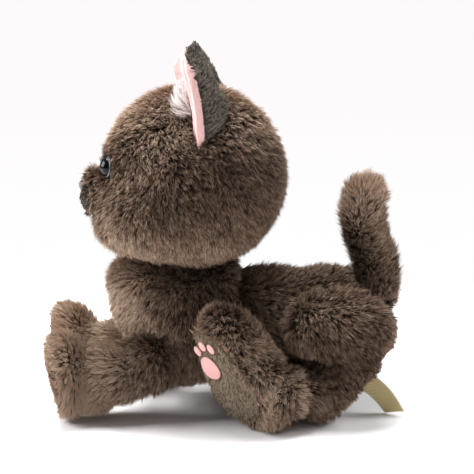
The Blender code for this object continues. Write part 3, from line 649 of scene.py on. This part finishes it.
for number, (body, (comb, density, length)) in enumerate(FIELDS.items()):
    rng = np.random.RandomState(100 + number % 2 + 7 * number)
    p, n = scatter(BACK[body], density * DENSITY, rng)
    size = np.full(len(p), length)
    if PANELS[body]:
        plates = bvh_of(*[NODES[k] for k in PANELS[body]])
        bare = distances(plates, p + n * 0.0024, 0.006)
        if body.startswith("hind"):
            bare = np.minimum(bare, np.minimum(distances(plates, p, 0.006), distances(plates, p + n * 0.0012, 0.006)))
            size = size * (0.62 + 0.38 * ramp(bare, 0.0010, 0.0050))
        stay = bare > (0.0008 if body.startswith("hind") else 0.0013)
        p, n, size = p[stay], n[stay], size[stay]
    if TRIMS[body]:
        gap = distances(bvh_of(*[NODES[k] for k in TRIMS[body]]), p, 0.012)
        stay = gap > 0.0012
        size = size * np.clip(0.35 + gap / 0.0065, 0.35, 1.0)
        if body == "head":
            near_eye = distances(bvh_of(NODES["eye_left"], NODES["eye_right"]), p, 0.012)
            size = size * np.clip(0.25 + near_eye / 0.010, 0.25, 1.0)
            stay &= near_eye > 0.0022
        p, n, size = p[stay], n[stay], size[stay]
    others = [obj for key, obj in BACK.items() if key != body]
    gap = distances(bvh_of(*others), p, 0.012)
    size = np.minimum(size, np.maximum(gap * 1.15, 0.0028))
    # How deep in a crease each root lies; there the strands are shorter, and their tone is lowered as painted shade.
    fold = gather(body, p)[1]
    seat = p - SEAT
    if body in ("torso", "hind_leg_left", "hind_leg_right"):
        size = size * (1 - 0.5 * ramp(seat[:, 1], 0.066, 0.084) * (1 - ramp(seat[:, 2], 0.026, 0.046)))
    back, high = seat[:, 1], seat[:, 2]
    # Painted light and shade: strands are lighter where the light falls (crown and front of the head, chest front,
    # front paws, hind heels, tail tip) and darker where shade falls (back of the head, waist and rump, rear of the
    # hind legs).
    painted_light_and_shade = np.zeros(len(p))
    if body == "tail":
        painted_light_and_shade = 0.70 * ramp(high, 0.110, 0.148)
    elif body.startswith("hind"):
        painted_light_and_shade = 0.62 * np.exp(-(((back - 0.032) / 0.018) ** 2 + ((high - 0.022) / 0.024) ** 2))
        painted_light_and_shade -= 0.22 * ramp(back, 0.046, 0.060)
    elif body.startswith("front"):
        painted_light_and_shade = 0.62 * ramp(-back, 0.044, 0.092)
    elif body == "head":
        painted_light_and_shade = 0.20 * ramp(high, 0.168, 0.198) + 0.06 * ramp(-back, 0.04, 0.07)
        painted_light_and_shade -= 0.21 * ramp(back, -0.055, -0.025) * (1 - ramp(high, 0.160, 0.185)) * ramp(high, 0.105, 0.125)
    else:
        painted_light_and_shade = 0.32 * ramp(-back, 0.038, 0.058) - 0.14 * ramp(back, 0.05, 0.07) - 0.10 * ramp(back, -0.045, -0.025) * (1 - ramp(back, 0.0, 0.03))
    grow(
        body + "_fur", body, p, n, comb(seat), BROWN, 200 + 11 * number,
        size * (1 - 0.25 * fold), 0.0004, clump_mm=9.0, pull=0.6, jitter=0.3, unruly=0.32,
        up=(1.1, 0.92, 0.66), out=(0.45, 0.72, 0.95), tone=0.46 - 0.2 * fold + painted_light_and_shade,
        spread=(0.08, 0.09, 0.13), steps=(-0.42, -0.04, 0.24),
    )


# ---- short pile panels ---------------------------------------------------------------------
def panel(name, node_name, body, base, voxel=0.0009, steps=4):
    obj = remeshed(object_from(welded(node_name), name), voxel, steps, 0.0)
    obj.data.materials.clear()
    obj.data.materials.append(base)
    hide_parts(node_name)
    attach(obj, body)
    return obj


EAR_LEAN = 0.0042
EAR_ROUND = 0.0052


def ear_bent(obj):
    """Leans an ear's tip forward and rounds its back out."""
    v, _, n = arrays(obj)
    z = v[:, 2]
    v[:, 1] -= EAR_LEAN * ramp(z, 0.196, 0.240)
    v[:, 1] += EAR_ROUND * ramp(z, 0.206, 0.219) * (1 - 0.8 * ramp(z, 0.222, 0.2345)) * ramp(n[:, 1], 0.0, 0.6)
    obj.data.vertices.foreach_set("co", v.ravel())
    obj.data.update()
    return obj


def facing(direction, limit):
    direction = np.array(direction) / np.linalg.norm(direction)
    return lambda centre, normal: (normal @ direction) > limit


for side, sign in zip(SIDES, (1, -1)):
    for leg, out, up in (
        ("hind", (0.683, -0.637, -0.358), (0.0, -0.2, 1.0)),
        ("front", (0.10, -0.97, -0.20), (0.0, 0.0, 1.0)),
    ):
        body = f"{leg}_leg_{side}"
        sole = panel(f"{leg}_sole_felt_{side}", f"{leg}_sole_{side}", body, SOLE_BASE)
        v, t, n = arrays(sole)
        face = unit(np.cross(v[t[:, 1]] - v[t[:, 0]], v[t[:, 2]] - v[t[:, 0]]))
        outward = np.array((out[0] * sign, out[1], out[2]))
        rng = np.random.RandomState(400 + (side == "left") * 5 + (leg == "hind"))
        p, n = scatter(sole, 5.5 * DENSITY, rng, facing(outward, 0.6))
        pads = bvh_of(*[NODES[k] for k in TRIMS[body]])
        gap = distances(pads, p, 0.004)
        clear = gap > 0.0007
        p, n, gap = p[clear], n[clear], gap[clear]
        outward /= np.linalg.norm(outward)
        q, m = scatter(sole, (3.4 if leg == "front" else 9.0) * DENSITY, rng, lambda c, f: (np.abs(f @ outward - 0.25) < 0.55))
        middle = (v.min(0) + v.max(0)) / 2
        keep = ((q - middle) @ outward) > -0.002
        if leg == "hind":
            rel = (q - middle) * np.array([sign, 1.0, 1.0])
            keep &= ~((rel @ SOLE_RIGHT < -0.004) & (rel @ SOLE_TALL > -0.008))
        q, m = q[keep], m[keep]
        if leg == "front":
            lean, up_rim, out_rim = unit(q - middle) * 0.6 + outward * 0.3, (0.9, 0.7, 0.5), (0.45, 0.7, 0.8)
        else:
            lean, up_rim, out_rim = unit(q - middle) + outward * 0.15, (0.7, 0.45, 0.1), (0.7, 0.9, 1.0)
        grow(
            f"{leg}_sole_rim_{side}", body, q - m * 0.0003, m, lean, BROWN,
            440 + (leg == "hind"), 0.0062 if leg == "front" else 0.0056, 0.0004, clump_mm=8.0, pull=0.5,
            jitter=0.34, unruly=0.3, up=up_rim, out=out_rim, tone=0.7 if leg == "front" else 0.58,
            spread=(0.08, 0.08, 0.15), steps=(-0.26, -0.02, 0.14),
        )
        comb = np.tile([0.35 * sign, 0.35, -1.0], (len(p), 1))
        grow(
            f"{leg}_sole_pile_{side}", body, p - n * 0.0003, n, comb, OLIVE, 450 + (leg == "hind"),
            np.minimum(0.0026, 0.0008 + gap * 0.8), 0.00042, clump_mm=9.0, pull=0.5, swirl=0.35,
            up=(1.0, 0.9, 0.7), tone=0.66, spread=(0.1, 0.1, 0.12), steps=(-0.3, 0.0, 0.12),
        )

    body = "head"
    back = ear_bent(panel(f"ear_back_felt_{side}", f"ear_back_{side}", body, EAR_BASE))
    lining_tree = bvh_of(NODES[f"ear_lining_{side}"])
    # The lining is turned over the ear's outer edge, as a smooth hem on the back.
    edge = [Vector((sign * (54 + 6.5 * k - 17 * k * k), -17.5 - 7 * k ** 1.6 + BACKWARD / MM, 170 + 65 * k)) * MM
            for k in (j / 40.0 for j in range(41))]
    for spot in edge:
        spot.y -= EAR_LEAN * float(ramp(spot.z, 0.196, 0.240))
    edge_tree = kdtree.KDTree(41)
    for k, spot in enumerate(edge):
        edge_tree.insert(spot, k)
    edge_tree.balance()

    def in_hem(spots, margin=0.0):
        out = np.zeros(len(spots), bool)
        for i, q in enumerate(spots):
            _, k, far = edge_tree.find(q)
            out[i] = far < 0.0056 * (1 - 0.8 * max(0.0, (k - 30) / 10.0)) + margin
        return out

    mesh = back.data
    mesh.materials.append(LINING)
    centres = np.array([tuple(f.center) for f in mesh.polygons])
    turned_back = ramp(np.array([f.normal[1] for f in mesh.polygons]), 0.1, 0.5)
    reach = 0.0026 * (1 - ramp(centres[:, 2], 0.204, 0.226) * turned_back)
    rim = distances(lining_tree, centres, 0.004) < reach * (1 - 0.75 * ramp(centres[:, 2], 0.222, 0.230))
    mesh.polygons.foreach_set("material_index", (in_hem(centres) | rim).astype(np.int32))
    rng = np.random.RandomState(500 + (side == "left"))
    p, n = scatter(back, 5.0 * DENSITY, rng)
    probe = p + n * 0.002
    gap = distances(lining_tree, probe, 0.005)
    stay = gap > 0.0031 - 0.0011 * ramp(p[:, 2], 0.204, 0.226) * ramp(n[:, 1], 0.1, 0.5)
    stay &= ~in_hem(p, 0.0006) & ((n[:, 1] > -0.4) | (p[:, 2] < 0.195))
    p, n, gap = p[stay], n[stay], gap[stay]
    gap = gap * (1 - 0.5 * ramp(p[:, 2], 0.214, 0.228))
    comb = np.tile([0.0, 0.45, 1.0], (len(p), 1))
    grow(
        f"ear_back_pile_{side}", body, p, n, comb, EARGREY, 520,
        np.minimum(0.0034, gap), 0.00045, clump_mm=10.0, pull=0.6, swirl=0.3,
        up=(0.8, 0.6, 0.45), tone=0.5, spread=(0.12, 0.12, 0.08), steps=(-0.3, 0.0, 0.12),
    )
    ear_bent(panel(f"ear_lining_cloth_{side}", f"ear_lining_{side}", body, LINING_INNER, 0.0008, 3))

    tuft_node = NODES[f"ear_tuft_{side}"]
    root = object_from(welded(f"ear_tuft_{side}"), f"ear_tuft_root_{side}")
    remeshed(root, 0.0009, 3, 0.0004)
    root.data.materials.clear()
    root.data.materials.append(WHITE[1])
    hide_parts(f"ear_tuft_{side}")
    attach(root, body)
    rng = np.random.RandomState(540 + (side == "left"))
    p, n = scatter(root, 3.2, rng, facing((0.1 * sign, -1.0, 0.3), -0.1))
    comb = np.tile([0.12 * sign, -0.35, 1.0], (len(p), 1)) + rng.normal(0, 0.22, (len(p), 3))
    grow(
        f"ear_tuft_{side}_hair", body, p, n, comb, WHITE, 560, 0.0125, 0.0004,
        clump_mm=7.0, pull=0.45, swirl=0.3, up=(0.9, 0.55, 0.25), tone=0.6, spread=(0.1, 0.1, 0.2),
        steps=(-0.2, 0.0, 0.1),
    )

muzzle = panel("muzzle_felt", "muzzle_panel", "head", MUZZLE_BASE)
rng = np.random.RandomState(600)
p, n = scatter(muzzle, 5.0 * DENSITY, rng, facing((0, -1, 0), -0.2))
gap = distances(bvh_of(NODES["nose"], NODES["mouth_stitch"]), p, 0.004)
stay = gap > 0.0008
p, n, gap = p[stay], n[stay], gap[stay]
bridge = ramp(p[:, 2], 0.1465, 0.1495)
cheek = (n[:, 1] > -0.62 + 0.12 * wave(p, 0.006, 9)) | (bridge > 0.4)
flare = comb_head(p[cheek] - SEAT)
grow(
    "muzzle_side_fur", "head", p[cheek], n[cheek], flare, BROWN, 610,
    np.minimum(0.0052 + 0.0032 * bridge[cheek], 0.001 + gap[cheek] * 2.0), 0.0004, clump_mm=8.0, pull=0.5,
    jitter=0.34, unruly=0.3,
    up=(0.9, 0.7, 0.5), out=(0.5, 0.8, 0.9), spread=(0.08, 0.08, 0.15), steps=(-0.36, -0.02, 0.16),
)
p, n, gap = p[~cheek], n[~cheek], gap[~cheek]
comb = unit(p - SEAT - np.array([0.0, -0.092, 0.146])) + np.array([0, 0, -0.3])
grow(
    "muzzle_pile", "head", p, n, comb, GREY, 620, np.minimum(0.0032, 0.001 + gap * 0.8),
    0.00042, clump_mm=8.0, pull=0.5, swirl=0.3, up=(1.0, 0.8, 0.6), tone=0.2,
    spread=(0.15, 0.12, 0.1), steps=(-0.3, 0.0, 0.12),
)


# ---- embroidery ----------------------------------------------------------------------------
def stitched(name, node_name, body, mat, pitch=0.00085, depth=0.00016, along=(0.3, 0.2, 1.0), voxel=0.0004):
    """A pad of satin stitch: rounded, with raised parallel threads."""
    obj = remeshed(object_from(welded(node_name), name), voxel, 5, 0.0)
    v, t, n = arrays(obj)
    across = unit(np.cross(np.array(along, float), n.mean(0)))
    s = v @ across + 0.00012 * wave(v, 0.002, 5)
    ridge = np.abs(np.sin(s / pitch * math.pi))
    obj.data.vertices.foreach_set("co", (v + n * ((ridge - 0.6) * depth)[:, None]).ravel())
    obj.data.update()
    obj.data.materials.clear()
    obj.data.materials.append(mat)
    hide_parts(node_name)
    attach(obj, body)
    return smooth_shaded(obj)


for side in SIDES:
    for leg in ("front", "hind"):
        for pad in ("palm_pad", "toe_pad_inner", "toe_pad_middle", "toe_pad_outer"):
            key = f"{leg}_{pad}_{side}"
            stitched(f"{leg}_{pad}_satin_{side}", key, f"{leg}_leg_{side}", PAD)
stitched("nose_satin", "nose", "head", NOSE_THREAD, 0.0007, 0.00014, (0.0, 0.0, 1.0), 0.00035)
stitched("mouth_stitch_thread", "mouth_stitch", "head", NOSE_THREAD, 0.0009, 0.0001, (0.0, 0.3, 1.0), 0.0003)


# ---- eyes ----------------------------------------------------------------------------------
EYE_BLACK = new_material("eye_black", srgb(5, 5, 6), 0.09, Specular_IOR_Level=0.16)
at = coordinates(EYE_BLACK)
plug(EYE_BLACK, colour_ramp(EYE_BLACK, noise(EYE_BLACK, at, 260.0), [(0.3, srgb(3, 3, 4)), (0.8, srgb(9, 9, 12))]), "Base Color")
EYE_RIM = new_material("eye_rim", srgb(90, 96, 106), 0.3, Metallic=0.4, Coat_Weight=0.3)
at = coordinates(EYE_RIM)
plug(EYE_RIM, colour_ramp(EYE_RIM, noise(EYE_RIM, at, 500.0), [(0.3, srgb(48, 53, 62)), (0.7, srgb(98, 106, 118))]), "Base Color")


def turned_form(name, profile, centre, axis, materials, bands, segments=56):
    """A turned shape: profile of (radius, height) pairs about axis."""
    axis = Vector(axis).normalized()
    frame_x = axis.orthogonal().normalized()
    frame_y = axis.cross(frame_x)
    bm = bmesh.new()
    rings = []
    for r, h in profile:
        if r <= 1e-7:
            rings.append([bm.verts.new(Vector(centre) + axis * h)])
            continue
        rings.append([
            bm.verts.new(
                Vector(centre) + axis * h
                + (frame_x * math.cos(2 * math.pi * k / segments) + frame_y * math.sin(2 * math.pi * k / segments)) * r
            )
            for k in range(segments)
        ])
    for i, (a, b) in enumerate(zip(rings, rings[1:])):
        for k in range(segments):
            j = (k + 1) % segments
            if len(a) == 1:
                face = bm.faces.new((a[0], b[k], b[j]))
            elif len(b) == 1:
                face = bm.faces.new((a[k], b[0], a[j]))
            else:
                face = bm.faces.new((a[k], b[k], b[j], a[j]))
            face.material_index = bands[i]
            face.smooth = True
    bmesh.ops.recalc_face_normals(bm, faces=bm.faces)
    obj = object_from(bm, name)
    for mat in materials:
        obj.data.materials.append(mat)
    return obj


for side, sign in zip(SIDES, (1, -1)):
    low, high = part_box(f"eye_{side}")
    axis = Vector((0.38 * sign, -0.92, 0.10)).normalized()
    v, _, _ = arrays(NODES[f"eye_{side}"])
    reach = float((v @ np.array(axis)).max())
    centre = Vector(v[(v @ np.array(axis)) > reach - 0.003].mean(0))
    centre += axis * (reach - centre.dot(axis))
    radius = 0.0066
    profile, bands = [(0.0, 0.0)], []
    for k in range(1, 15):
        a = math.radians(k * 5.4)
        profile.append((radius * 0.93 * math.sin(a) / math.sin(math.radians(75.6)),
                        -0.0042 * (1 - math.cos(a)) / (1 - math.cos(math.radians(75.6)))))
        bands.append(0)
    for r, h in ((0.0063, -0.0041), (0.0066, -0.0042), (0.0068, -0.0046), (0.0067, -0.0052), (0.0060, -0.0056), (0.0, -0.0056)):
        profile.append((r, h))
        bands.append(1)
    eye = turned_form(f"eye_dome_{side}", profile, centre, axis, [EYE_BLACK, EYE_RIM], bands)
    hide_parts(f"eye_{side}")
    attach(eye, "head")


# ---- ribbon label --------------------------------------------------------------------------
GOLD = new_material("ribbon_gold", srgb(205, 186, 134), 0.55, Sheen_Weight=0.3)
at = coordinates(GOLD, rotation=(0.0, 0.6, 0.3))
weft = node(GOLD, "ShaderNodeTexWave", wave_type="BANDS", bands_direction="X")
weft.inputs["Scale"].default_value = 620.0
weft.inputs["Distortion"].default_value = 0.4
GOLD.node_tree.links.new(at, weft.inputs["Vector"])
plug(GOLD, colour_ramp(GOLD, weft.outputs["Fac"], [(0.1, srgb(176, 154, 100)), (0.7, srgb(222, 204, 152))]), "Base Color")
bump(GOLD, weft.outputs["Fac"], 0.4, 0.0001)
NAVY = new_material("ribbon_navy", srgb(36, 42, 62), 0.6, Sheen_Weight=0.2)
at = coordinates(NAVY, rotation=(0.0, 0.6, 0.3))
weft = node(NAVY, "ShaderNodeTexWave", wave_type="BANDS", bands_direction="X")
weft.inputs["Scale"].default_value = 620.0
NAVY.node_tree.links.new(at, weft.inputs["Vector"])
plug(NAVY, colour_ramp(NAVY, weft.outputs["Fac"], [(0.1, srgb(26, 30, 46)), (0.7, srgb(48, 56, 80))]), "Base Color")
bump(NAVY, weft.outputs["Fac"], 0.4, 0.0001)
PALE = cloth_material("ribbon_edge", srgb(196, 186, 158), srgb(232, 224, 200), 1500.0, 0.7, 0.0001)


def label_spot(t, s, lift):
    """A spot on the ribbon: t along it, s across it from -1 to 1."""

    def middle_at(t):
        bulge = math.sin(math.pi * t)
        return Vector((19.0 + 10.5 * t, 85.5 + 23.0 * t + 1.5 * bulge + BACKWARD / MM, 22.0 - 19.8 * t + 2.2 * bulge))

    middle = middle_at(t)
    across = Vector((-0.12 - 0.45 * t, -0.72, -0.69 + 0.45 * t)).normalized()
    normal = across.cross(middle_at(t + 0.01) - middle).normalized()
    if normal.x < 0:
        normal = -normal
    curl = 0.9 * (s * s) * (0.3 + 0.7 * t)
    return (middle + across * 7.3 * s + normal * (lift + curl - 0.5)) * MM


bm = bmesh.new()
ALONG, ACROSS = 30, 14
for lift, index in ((0.35, 0), (-0.35, 1)):
    grid = [[bm.verts.new(label_spot(0.02 + 0.98 * i / ALONG, -1 + 2 * j / ACROSS, lift)) for j in range(ACROSS + 1)]
            for i in range(ALONG + 1)]
    if index == 0:
        upper = grid
    for i in range(ALONG):
        for j in range(ACROSS):
            quad = [grid[i][j], grid[i][j + 1], grid[i + 1][j + 1], grid[i + 1][j]]
            face = bm.faces.new(quad if index == 0 else quad[::-1])
            face.material_index = 2 if j in (0, ACROSS - 1) else index
            face.smooth = True
rim = [(i, 0) for i in range(ALONG + 1)] + [(ALONG, j) for j in range(1, ACROSS + 1)]
rim += [(i, ACROSS) for i in range(ALONG - 1, -1, -1)] + [(0, j) for j in range(ACROSS - 1, 0, -1)]
for (i, j), (a, b) in zip(rim, rim[1:] + rim[:1]):
    face = bm.faces.new((upper[i][j], upper[a][b], grid[a][b], grid[i][j]))
    face.material_index = 2
bmesh.ops.recalc_face_normals(bm, faces=bm.faces)
label = object_from(bm, "ribbon_label")
for mat in (GOLD, NAVY, PALE):
    label.data.materials.append(mat)
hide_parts("sewn_label")
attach(label, "torso")

# ---- the hidden pieces keep their CAD shape ------------------------------------------------
for name, obj in NODES.items():
    if obj.hide_render:
        continue
    mat = PLASTIC if ("disc" in name or "washer" in name) else INNER
    obj.data.materials.clear()
    obj.data.materials.append(mat)

# ---- floor, light and camera ---------------------------------------------------------------
bpy.ops.mesh.primitive_grid_add(x_subdivisions=8, y_subdivisions=8, size=12.0, location=(0, 0, 0))
floor = bpy.context.active_object
floor.name = "floor"
FLOOR = new_material("paper_white", srgb(250, 248, 249), 0.85)
at = coordinates(FLOOR)
plug(FLOOR, colour_ramp(FLOOR, noise(FLOOR, at, 30.0), [(0.2, srgb(249, 247, 248)), (0.8, srgb(252, 250, 251))]), "Base Color")
# Away from the cat the floor fades into the white behind it.
links = FLOOR.node_tree.links
reach = node(FLOOR, "ShaderNodeVectorMath", operation="LENGTH")
links.new(node(FLOOR, "ShaderNodeNewGeometry").outputs["Position"], reach.inputs[0])
fade = node(FLOOR, "ShaderNodeMapRange", interpolation_type="SMOOTHSTEP")
fade.inputs["From Min"].default_value = 0.17
fade.inputs["From Max"].default_value = 0.45
links.new(reach.outputs["Value"], fade.inputs["Value"])
seen_floor = node(FLOOR, "ShaderNodeMath", operation="MULTIPLY")
links.new(fade.outputs["Result"], seen_floor.inputs[0])
links.new(node(FLOOR, "ShaderNodeLightPath").outputs["Is Camera Ray"], seen_floor.inputs[1])
glow = node(FLOOR, "ShaderNodeEmission")
distance = node(FLOOR, "ShaderNodeMapRange")
distance.inputs["From Min"].default_value = 0.4
distance.inputs["From Max"].default_value = 2.6
links.new(reach.outputs["Value"], distance.inputs["Value"])
links.new(
    colour_ramp(FLOOR, distance.outputs["Result"], [(0.0, (1, 1, 1, 1)), (1.0, (0.985, 0.952, 0.962, 1))]),
    glow.inputs["Color"],
)
blend = node(FLOOR, "ShaderNodeMixShader")
links.new(seen_floor.outputs[0], blend.inputs["Fac"])
links.new(FLOOR.node_tree.nodes["Principled BSDF"].outputs[0], blend.inputs[1])
links.new(glow.outputs[0], blend.inputs[2])
links.new(blend.outputs[0], FLOOR.node_tree.nodes["Material Output"].inputs["Surface"])
floor.data.materials.append(FLOOR)

world = bpy.data.worlds.new("studio")
SCENE.world = world
world.use_nodes = True
tree = world.node_tree
tree.nodes.clear()
output = tree.nodes.new("ShaderNodeOutputWorld")
seen = tree.nodes.new("ShaderNodeBackground")
seen.inputs["Color"].default_value = (0.985, 0.952, 0.962, 1)
seen.inputs["Strength"].default_value = 1.0
lit = tree.nodes.new("ShaderNodeBackground")
lit.inputs["Color"].default_value = (1.0, 0.985, 0.98, 1)
lit.inputs["Strength"].default_value = 0.23
path = tree.nodes.new("ShaderNodeLightPath")
mix = tree.nodes.new("ShaderNodeMixShader")
tree.links.new(path.outputs["Is Camera Ray"], mix.inputs["Fac"])
tree.links.new(lit.outputs[0], mix.inputs[1])
tree.links.new(seen.outputs[0], mix.inputs[2])
tree.links.new(mix.outputs[0], output.inputs["Surface"])


def softbox(name, at, target, size, power, colour=(1, 1, 1)):
    light = bpy.data.lights.new(name, "AREA")
    light.shape = "RECTANGLE"
    light.size, light.size_y = size
    light.energy = power
    light.color = colour
    obj = link(bpy.data.objects.new(name, light))
    obj.location = at
    obj.rotation_euler = (Vector(target) - Vector(at)).to_track_quat("-Z", "Y").to_euler()
    return obj


softbox("top_box", (-0.25, -0.10, 1.1), (0, 0, 0.08), (0.7, 0.7), 30.0)
softbox("front_box", (0.0, -0.75, 0.42), (0, -0.04, 0.07), (0.5, 0.5), 9.5)
softbox("back_box", (-0.3, 0.95, 0.7), (0, 0, 0.1), (0.7, 0.7), 11.0)

camera = bpy.data.cameras.new("camera")
camera.sensor_fit = "HORIZONTAL"
camera.sensor_width = 36.0
camera.lens = 36.0 * 1261.5 / 474.0
camera.clip_start = 0.01
eye = link(bpy.data.objects.new("camera", camera))
rise = math.radians(10.25)
aim = Vector((0.0, 0.007 + BACKWARD, 0.111))
eye.location = aim + Vector((math.cos(rise), 0.0, math.sin(rise))) * 0.82
eye.rotation_euler = (aim - eye.location).to_track_quat("-Z", "Y").to_euler()
SCENE.camera = eye
SCENE.view_settings.view_transform = "Standard"
SCENE.view_settings.look = "None"
